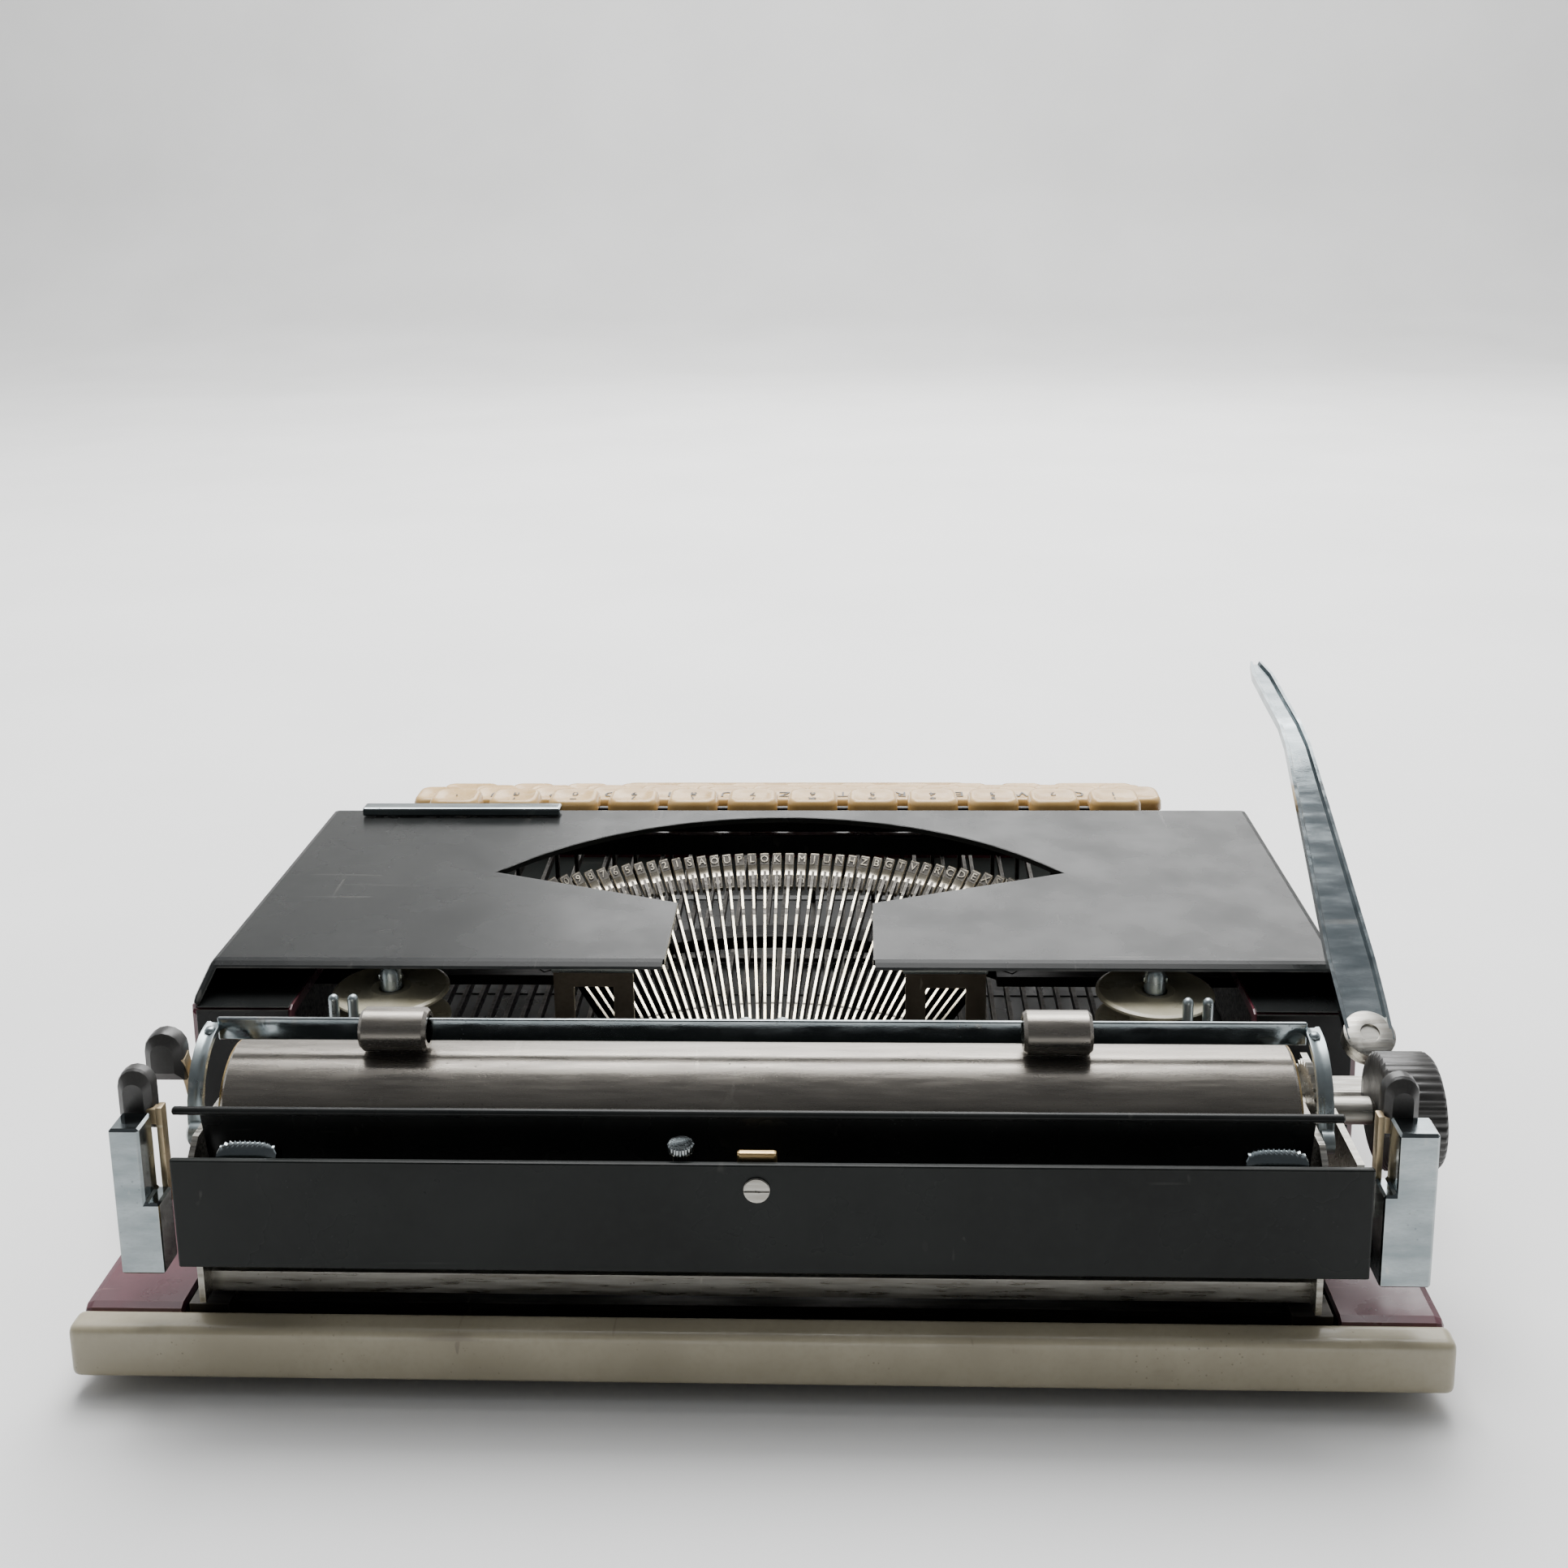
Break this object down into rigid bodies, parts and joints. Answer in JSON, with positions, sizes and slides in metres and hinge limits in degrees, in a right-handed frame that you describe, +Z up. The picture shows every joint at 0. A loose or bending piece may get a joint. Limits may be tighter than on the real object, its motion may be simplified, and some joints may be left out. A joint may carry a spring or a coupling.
{
  "type": "typewriter",
  "caption": "Flat portable mechanical typewriter with a sliding carriage, platen and return lever, lift-off hood, ribbon spools and a sprung keyboard.",
  "frame": {"origin": "under the middle of the machine, on the plane its feet stand on", "axes": "+X to the typist's right, +Y to the rear (carriage side), -Y to the keyboard, +Z up"},
  "size_m": [0.2905, 0.29, 0.114],
  "materials": {
    "burgundy": "burgundy enamel, satin",
    "beige": "beige enamel, satin",
    "black": "black enamel, gloss",
    "cream": "moulded cream plastic",
    "black_plastic": "moulded black plastic",
    "steel": "plated steel",
    "chrome": "bright chrome plate",
    "brass": "plain brass",
    "rubber": "black rubber"
  },
  "bodies": {
    "chassis": {"bottom_pan": "beige", "body_shell": "burgundy", "foot_rear_left": "rubber", "foot_rear_right": "rubber", "foot_front_left": "rubber", "foot_front_right": "rubber", "main_frame": "steel", "key_fulcrum_rod": "steel", "segment": "steel", "typebar_rest": "steel", "typebar_basket": "steel", "type_guide": "steel", "basket_plate_left": "steel", "basket_plate_right": "steel", "spool_shaft_left": "steel", "spool_shaft_right": "steel", "ribbon_guide_left": "black", "ribbon_guide_right": "black", "bell": "steel"},
    "hood": {"hood": "black", "badge_bar": "chrome"},
    "shift_rails": {"rail_front": "steel", "rail_rear": "steel"},
    "carriage": {"carriage_frame": "steel", "rear_panel": "black", "panel_screw": "steel", "end_cap_left": "chrome", "end_cap_right": "chrome", "paper_table": "black", "margin_rail": "steel", "draw_clip": "brass"},
    "platen": {"platen": "rubber", "ratchet_wheel": "steel", "platen_knob": "black_plastic"},
    "feed_roller_rear": {"feed_roller_rear": "rubber"},
    "feed_roller_front": {"feed_roller_front": "rubber"},
    "paper_bail": {"paper_bail": "chrome"},
    "bail_roller_left": {"bail_roller_left": "rubber"},
    "bail_roller_right": {"bail_roller_right": "rubber"},
    "margin_stop_left": {"margin_stop_left": "chrome"},
    "margin_stop_right": {"margin_stop_right": "chrome"},
    "knurled_wheel": {"knurled_wheel": "chrome"},
    "carriage_release_left": {"carriage_release_left": "black_plastic"},
    "carriage_release_right": {"carriage_release_right": "black_plastic"},
    "paper_release": {"paper_release": "black_plastic"},
    "return_lever": {"return_lever": "chrome"},
    "mainspring_drum": {"mainspring_drum": "brass"},
    "ribbon_spool_left": {"ribbon_spool_left": "cream"},
    "ribbon_spool_right": {"ribbon_spool_right": "cream"},
    "typebar_single": {"typebar_single": "steel"},
    "ribbon_vibrator": {"ribbon_vibrator": "steel"},
    "key_row_digits": {"key_row_digits": "cream"},
    "key_row_upper": {"key_row_upper": "cream"},
    "key_row_home": {"key_row_home": "cream"},
    "key_row_lower": {"key_row_lower": "cream"},
    "key_single": {"key_single": "cream"},
    "backspace_key": {"backspace_key": "cream"},
    "margin_release_key": {"margin_release_key": "cream"},
    "space_bar": {"space_bar": "cream"},
    "shift_keys": {"shift_keys": "cream"}
  },
  "joints": [
    {"name": "hood_lift", "type": "slide", "parent": "chassis", "child": "hood", "axis": [0, 0, 1], "range_m": [0, 0.012]},
    {"name": "key_row_digits_press", "type": "hinge", "parent": "chassis", "child": "key_row_digits", "pos_m": [0, 0.06, 0.0105], "axis": [1, 0, 0], "range_deg": [0, 3.2], "stiffness_Nm_per_rad": 0.6, "springref_deg": -11.46},
    {"name": "key_row_upper_press", "type": "hinge", "parent": "chassis", "child": "key_row_upper", "pos_m": [0, 0.06, 0.0105], "axis": [1, 0, 0], "range_deg": [0, 3.2], "stiffness_Nm_per_rad": 0.6, "springref_deg": -11.46},
    {"name": "key_row_home_press", "type": "hinge", "parent": "chassis", "child": "key_row_home", "pos_m": [0, 0.06, 0.0105], "axis": [1, 0, 0], "range_deg": [0, 3.2], "stiffness_Nm_per_rad": 0.6, "springref_deg": -11.46},
    {"name": "key_row_lower_press", "type": "hinge", "parent": "chassis", "child": "key_row_lower", "pos_m": [0, 0.06, 0.0105], "axis": [1, 0, 0], "range_deg": [0, 3.2], "stiffness_Nm_per_rad": 0.6, "springref_deg": -11.46},
    {"name": "backspace_key_press", "type": "hinge", "parent": "chassis", "child": "backspace_key", "pos_m": [0, 0.06, 0.0105], "axis": [1, 0, 0], "range_deg": [0, 3.2], "stiffness_Nm_per_rad": 0.2, "springref_deg": -11.46},
    {"name": "margin_release_key_press", "type": "hinge", "parent": "chassis", "child": "margin_release_key", "pos_m": [0, 0.06, 0.0105], "axis": [1, 0, 0], "range_deg": [0, 3.2], "stiffness_Nm_per_rad": 0.2, "springref_deg": -11.46},
    {"name": "space_bar_press", "type": "hinge", "parent": "chassis", "child": "space_bar", "pos_m": [0, 0.06, 0.0105], "axis": [1, 0, 0], "range_deg": [0, 3.2], "stiffness_Nm_per_rad": 0.4, "springref_deg": -11.46},
    {"name": "key_single_press", "type": "hinge", "parent": "chassis", "child": "key_single", "pos_m": [0, 0.06, 0.0105], "axis": [1, 0, 0], "range_deg": [0, 3.21], "stiffness_Nm_per_rad": 0.2, "springref_deg": -11.46},
    {"name": "typebar_swing", "type": "hinge", "parent": "chassis", "child": "typebar_single", "pos_m": [-0.00092, 0.03251, 0.024], "axis": [-0.9999, 0.0149, 0], "range_deg": [0, 126]},
    {"name": "ribbon_vibrator_lift", "type": "slide", "parent": "chassis", "child": "ribbon_vibrator", "axis": [0, 0, 1], "range_m": [0, 0.00801]},
    {"name": "shift_lift", "type": "slide", "parent": "chassis", "child": "shift_rails", "axis": [0, 0, 1], "range_m": [0, 0.006]},
    {"name": "shift_key_press", "type": "hinge", "parent": "chassis", "child": "shift_keys", "pos_m": [0, 0.0525, 0.0085], "axis": [1, 0, 0], "range_deg": [0, 3.21]},
    {"name": "carriage_travel", "type": "slide", "parent": "shift_rails", "child": "carriage", "axis": [1, 0, 0], "range_m": [-0.105, 0.105]},
    {"name": "mainspring_drum_spin", "type": "hinge", "parent": "chassis", "child": "mainspring_drum", "pos_m": [0.085, 0.112, 0.0105], "axis": [0, 0, 1], "range_deg": [-505, 505]},
    {"name": "platen_turn", "type": "hinge", "parent": "carriage", "child": "platen", "pos_m": [0, 0.11, 0.048], "axis": [1, 0, 0], "continuous": true},
    {"name": "feed_roller_rear_spin", "type": "hinge", "parent": "carriage", "child": "feed_roller_rear", "pos_m": [0, 0.1166, 0.02986], "axis": [1, 0, 0], "continuous": true},
    {"name": "feed_roller_front_spin", "type": "hinge", "parent": "carriage", "child": "feed_roller_front", "pos_m": [0, 0.1034, 0.02986], "axis": [1, 0, 0], "continuous": true},
    {"name": "paper_bail_open", "type": "hinge", "parent": "carriage", "child": "paper_bail", "pos_m": [0, 0.126, 0.05], "axis": [-1, 0, 0], "range_deg": [0, 45]},
    {"name": "bail_roller_left_spin", "type": "hinge", "parent": "paper_bail", "child": "bail_roller_left", "pos_m": [-0.0652, 0.1125, 0.0674], "axis": [1, 0, 0], "continuous": true},
    {"name": "bail_roller_right_spin", "type": "hinge", "parent": "paper_bail", "child": "bail_roller_right", "pos_m": [0.0791, 0.1125, 0.0674], "axis": [1, 0, 0], "continuous": true},
    {"name": "margin_stop_left_slide", "type": "slide", "parent": "carriage", "child": "margin_stop_left", "axis": [1, 0, 0], "range_m": [0, 0.08]},
    {"name": "margin_stop_right_slide", "type": "slide", "parent": "carriage", "child": "margin_stop_right", "axis": [1, 0, 0], "range_m": [-0.075, 0]},
    {"name": "knurled_wheel_turn", "type": "hinge", "parent": "carriage", "child": "knurled_wheel", "pos_m": [0.014, 0.1401, 0.054], "axis": [0, 0, 1], "continuous": true},
    {"name": "carriage_release_left_pull", "type": "hinge", "parent": "carriage", "child": "carriage_release_left", "pos_m": [-0.1277, 0.1358, 0.0415], "axis": [1, 0, 0], "range_deg": [0, 12], "stiffness_Nm_per_rad": 0.03, "springref_deg": -5.73},
    {"name": "carriage_release_right_pull", "type": "hinge", "parent": "carriage", "child": "carriage_release_right", "pos_m": [0.1229, 0.1358, 0.0415], "axis": [1, 0, 0], "range_deg": [0, 12], "stiffness_Nm_per_rad": 0.03, "springref_deg": -5.73},
    {"name": "paper_release_pull", "type": "hinge", "parent": "carriage", "child": "paper_release", "pos_m": [0.1229, 0.115, 0.0455], "axis": [1, 0, 0], "range_deg": [0, 20]},
    {"name": "return_lever_swing", "type": "hinge", "parent": "carriage", "child": "return_lever", "pos_m": [-0.1385, 0.0905, 0.055], "axis": [0, 0.5428, 0.8399], "range_deg": [0, 30], "stiffness_Nm_per_rad": 0.05, "springref_deg": -8.59},
    {"name": "ribbon_spool_left_spin", "type": "hinge", "parent": "chassis", "child": "ribbon_spool_left", "pos_m": [-0.0963, 0.055, 0.0448], "axis": [0, 0, 1], "continuous": true},
    {"name": "ribbon_spool_right_spin", "type": "hinge", "parent": "chassis", "child": "ribbon_spool_right", "pos_m": [0.0963, 0.055, 0.0448], "axis": [0, 0, 1], "continuous": true}
  ],
  "couplings": [
    {"joint": "key_single_press", "follows": "typebar_swing", "ratio": 0.025397},
    {"joint": "ribbon_vibrator_lift", "follows": "typebar_swing", "m_per_rad": 0.0036378},
    {"joint": "shift_key_press", "follows": "shift_lift", "rad_per_m": 9.3084},
    {"joint": "mainspring_drum_spin", "follows": "carriage_travel", "rad_per_m": 83.333},
    {"joint": "feed_roller_rear_spin", "follows": "platen_turn", "ratio": -3.2222},
    {"joint": "feed_roller_front_spin", "follows": "platen_turn", "ratio": -3.2222}
  ]
}
